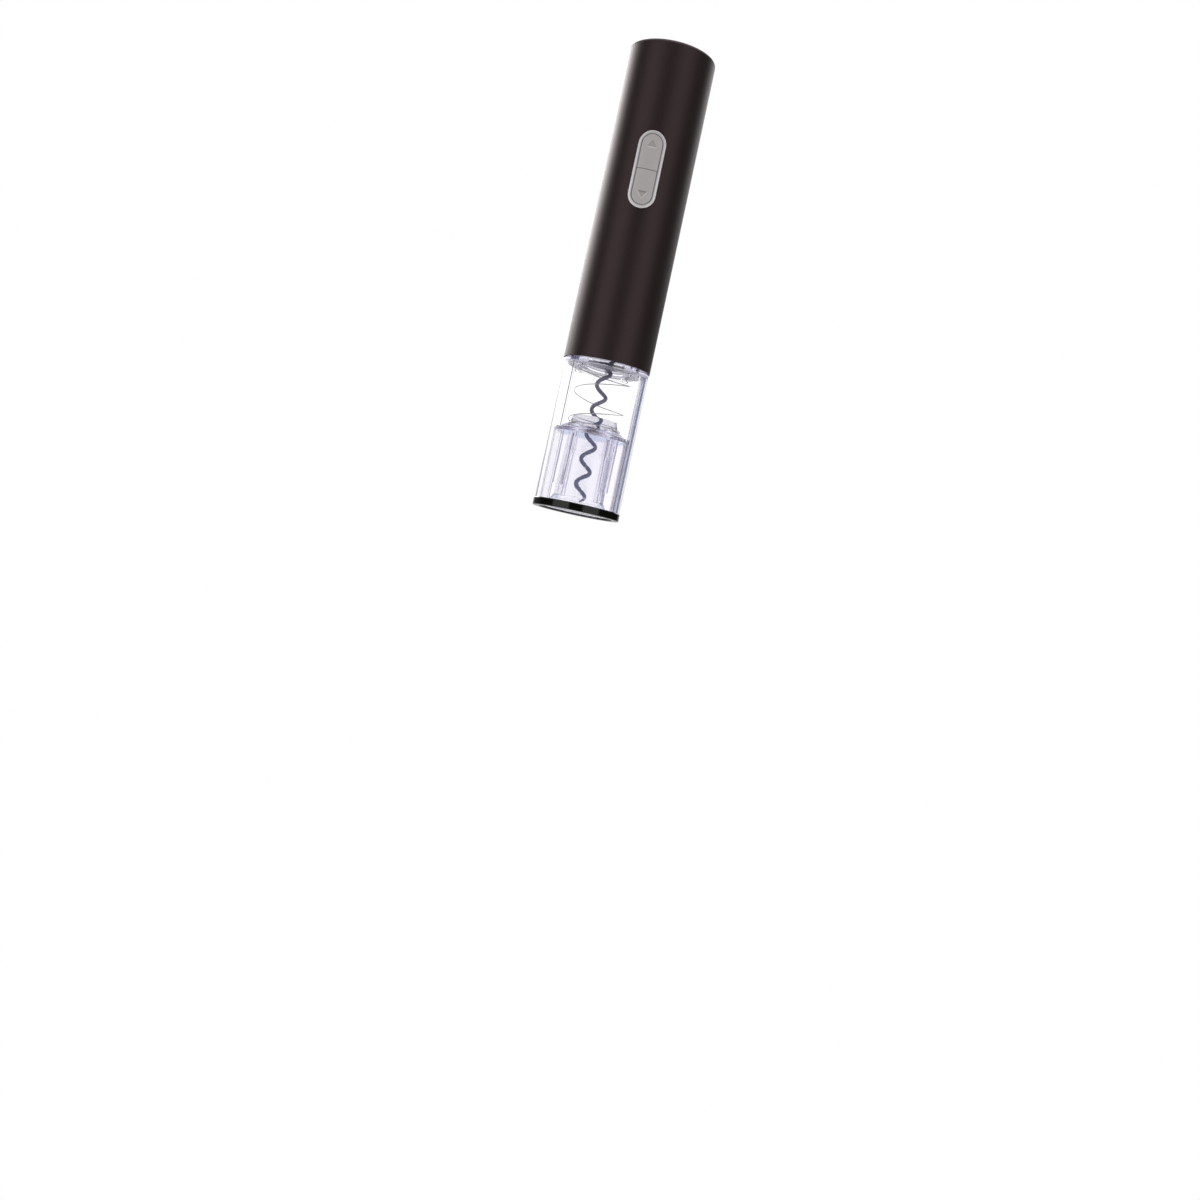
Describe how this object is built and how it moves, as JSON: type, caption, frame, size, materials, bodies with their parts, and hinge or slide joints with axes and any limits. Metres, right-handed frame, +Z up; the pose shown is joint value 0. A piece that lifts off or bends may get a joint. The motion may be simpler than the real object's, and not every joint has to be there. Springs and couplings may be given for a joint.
{
  "type": "electric wine opener",
  "caption": "Battery-powered corkscrew: slim tube with up and down keys, geared motor and worm inside a clear barrel with a spring-loaded neck sleeve.",
  "frame": {"origin": "centre of the barrel's mouth, on the plane of its rim", "axes": "+Z up the axis to the battery cap, -Y towards the two keys, +X to the right when facing the keys"},
  "size_m": [0.05, 0.0508, 0.265],
  "materials": {
    "bezel": "silver paint",
    "board": "glass-epoxy board",
    "brass": "machined",
    "bright_steel": "zinc plated",
    "cell": "plain wrap",
    "clear": "clear moulded plastic",
    "copper": "enamelled copper",
    "gear_metal": "sintered",
    "gear_plastic": "acetal",
    "housing": "satin soft-touch black",
    "hub": "satin",
    "inner_plastic": "moulded",
    "iron": "dark",
    "keys": "silver-grey satin",
    "spring": "drawn wire",
    "switches": "moulded",
    "trim": "gloss black",
    "wire": "insulated",
    "worm": "dark non-stick coating"
  },
  "bodies": {
    "opener": {"barrel_screws": "bright_steel", "base_contacts": "bright_steel", "battery_cells": "cell", "battery_holder": "inner_plastic", "board_screws": "bright_steel", "button_bezel": "bezel", "chassis_front": "inner_plastic", "chassis_rear": "inner_plastic", "chassis_screws": "bright_steel", "circuit_board": "board", "clear_barrel": "clear", "gearbox_nose": "inner_plastic", "gearbox_screws": "bright_steel", "housing_tube": "housing", "lead_wires": "wire", "motor_brushes": "iron", "motor_bushes": "brass", "motor_can": "bright_steel", "motor_end_bell": "inner_plastic", "motor_magnets": "iron", "motor_plate": "gear_metal", "motor_screws": "bright_steel", "motor_terminals": "brass", "output_bush": "brass", "return_spring": "spring", "ring_gear": "gear_plastic", "switch_bodies": "switches", "thrust_washer": "gear_metal", "trim_ring": "trim"},
    "worm_drive": {"worm": "worm", "worm_hub": "hub", "output_carrier": "gear_metal", "output_planet_pins": "bright_steel"},
    "stage_2_carrier": {"stage_2_carrier": "gear_metal", "stage_2_planet_pins": "bright_steel"},
    "stage_1_carrier": {"stage_1_carrier": "gear_metal", "stage_1_planet_pins": "bright_steel"},
    "rotor": {"motor_shaft": "bright_steel", "motor_pinion": "brass", "armature_core": "iron", "armature_windings": "copper", "commutator": "copper"},
    "sleeve": {"neck_sleeve": "clear"},
    "up_key": {"key_up": "keys", "switch_plunger_up": "switches"},
    "down_key": {"key_down": "keys", "switch_plunger_down": "switches"},
    "cap": {"battery_cap": "housing", "cap_contacts": "bright_steel"},
    "stage_1_planet_1_gear": {"stage_1_planet_1": "gear_plastic"},
    "stage_1_planet_2_gear": {"stage_1_planet_2": "gear_plastic"},
    "stage_1_planet_3_gear": {"stage_1_planet_3": "gear_plastic"},
    "stage_2_planet_1_gear": {"stage_2_planet_1": "gear_plastic"},
    "stage_2_planet_2_gear": {"stage_2_planet_2": "gear_plastic"},
    "stage_2_planet_3_gear": {"stage_2_planet_3": "gear_plastic"},
    "output_planet_1_gear": {"output_planet_1": "gear_plastic"},
    "output_planet_2_gear": {"output_planet_2": "gear_plastic"},
    "output_planet_3_gear": {"output_planet_3": "gear_plastic"}
  },
  "joints": [
    {"name": "worm_spin", "type": "hinge", "parent": "opener", "child": "worm_drive", "pos_m": [0, 0, 0.1], "axis": [0, 0, 1], "continuous": true},
    {"name": "stage_2_spin", "type": "hinge", "parent": "opener", "child": "stage_2_carrier", "pos_m": [0, 0, 0.106], "axis": [0, 0, 1], "continuous": true},
    {"name": "stage_1_spin", "type": "hinge", "parent": "opener", "child": "stage_1_carrier", "pos_m": [0, 0, 0.114], "axis": [0, 0, 1], "continuous": true},
    {"name": "motor_spin", "type": "hinge", "parent": "opener", "child": "rotor", "pos_m": [0, 0, 0.12], "axis": [0, 0, 1], "continuous": true},
    {"name": "stage_1_planet_1_spin", "type": "hinge", "parent": "stage_1_carrier", "child": "stage_1_planet_1_gear", "pos_m": [0, 0.0081, 0.1], "axis": [0, 0, 1], "continuous": true},
    {"name": "stage_1_planet_2_spin", "type": "hinge", "parent": "stage_1_carrier", "child": "stage_1_planet_2_gear", "pos_m": [-0.00701, -0.00405, 0.1], "axis": [0, 0, 1], "continuous": true},
    {"name": "stage_1_planet_3_spin", "type": "hinge", "parent": "stage_1_carrier", "child": "stage_1_planet_3_gear", "pos_m": [0.00701, -0.00405, 0.1], "axis": [0, 0, 1], "continuous": true},
    {"name": "stage_2_planet_1_spin", "type": "hinge", "parent": "stage_2_carrier", "child": "stage_2_planet_1_gear", "pos_m": [0, 0.0081, 0.1], "axis": [0, 0, 1], "continuous": true},
    {"name": "stage_2_planet_2_spin", "type": "hinge", "parent": "stage_2_carrier", "child": "stage_2_planet_2_gear", "pos_m": [-0.00701, -0.00405, 0.1], "axis": [0, 0, 1], "continuous": true},
    {"name": "stage_2_planet_3_spin", "type": "hinge", "parent": "stage_2_carrier", "child": "stage_2_planet_3_gear", "pos_m": [0.00701, -0.00405, 0.1], "axis": [0, 0, 1], "continuous": true},
    {"name": "output_planet_1_spin", "type": "hinge", "parent": "worm_drive", "child": "output_planet_1_gear", "pos_m": [0, 0.0081, 0.1], "axis": [0, 0, 1], "continuous": true},
    {"name": "output_planet_2_spin", "type": "hinge", "parent": "worm_drive", "child": "output_planet_2_gear", "pos_m": [-0.00701, -0.00405, 0.1], "axis": [0, 0, 1], "continuous": true},
    {"name": "output_planet_3_spin", "type": "hinge", "parent": "worm_drive", "child": "output_planet_3_gear", "pos_m": [0.00701, -0.00405, 0.1], "axis": [0, 0, 1], "continuous": true},
    {"name": "sleeve_slide", "type": "slide", "parent": "opener", "child": "sleeve", "axis": [0, 0, 1], "range_m": [0, 0.0275], "stiffness_N_per_m": 60, "springref_m": -0.02, "deforming": ["return_spring"]},
    {"name": "up_key_press", "type": "slide", "parent": "opener", "child": "up_key", "axis": [0, 1, 0], "range_m": [0, 0.0008], "stiffness_N_per_m": 300, "springref_m": -0.003},
    {"name": "down_key_press", "type": "slide", "parent": "opener", "child": "down_key", "axis": [0, 1, 0], "range_m": [0, 0.0008], "stiffness_N_per_m": 300, "springref_m": -0.003},
    {"name": "cap_lift", "type": "slide", "parent": "opener", "child": "cap", "axis": [0, 0, 1], "range_m": [0, 0.03]}
  ],
  "couplings": [
    {"joint": "stage_2_spin", "follows": "worm_spin", "ratio": 4.5},
    {"joint": "stage_1_spin", "follows": "worm_spin", "ratio": 20.25},
    {"joint": "motor_spin", "follows": "worm_spin", "ratio": 91.125},
    {"joint": "stage_1_planet_1_spin", "follows": "worm_spin", "ratio": -56.7},
    {"joint": "stage_1_planet_2_spin", "follows": "worm_spin", "ratio": -56.7},
    {"joint": "stage_1_planet_3_spin", "follows": "worm_spin", "ratio": -56.7},
    {"joint": "stage_2_planet_1_spin", "follows": "worm_spin", "ratio": -12.6},
    {"joint": "stage_2_planet_2_spin", "follows": "worm_spin", "ratio": -12.6},
    {"joint": "stage_2_planet_3_spin", "follows": "worm_spin", "ratio": -12.6},
    {"joint": "output_planet_1_spin", "follows": "worm_spin", "ratio": -2.8},
    {"joint": "output_planet_2_spin", "follows": "worm_spin", "ratio": -2.8},
    {"joint": "output_planet_3_spin", "follows": "worm_spin", "ratio": -2.8}
  ]
}
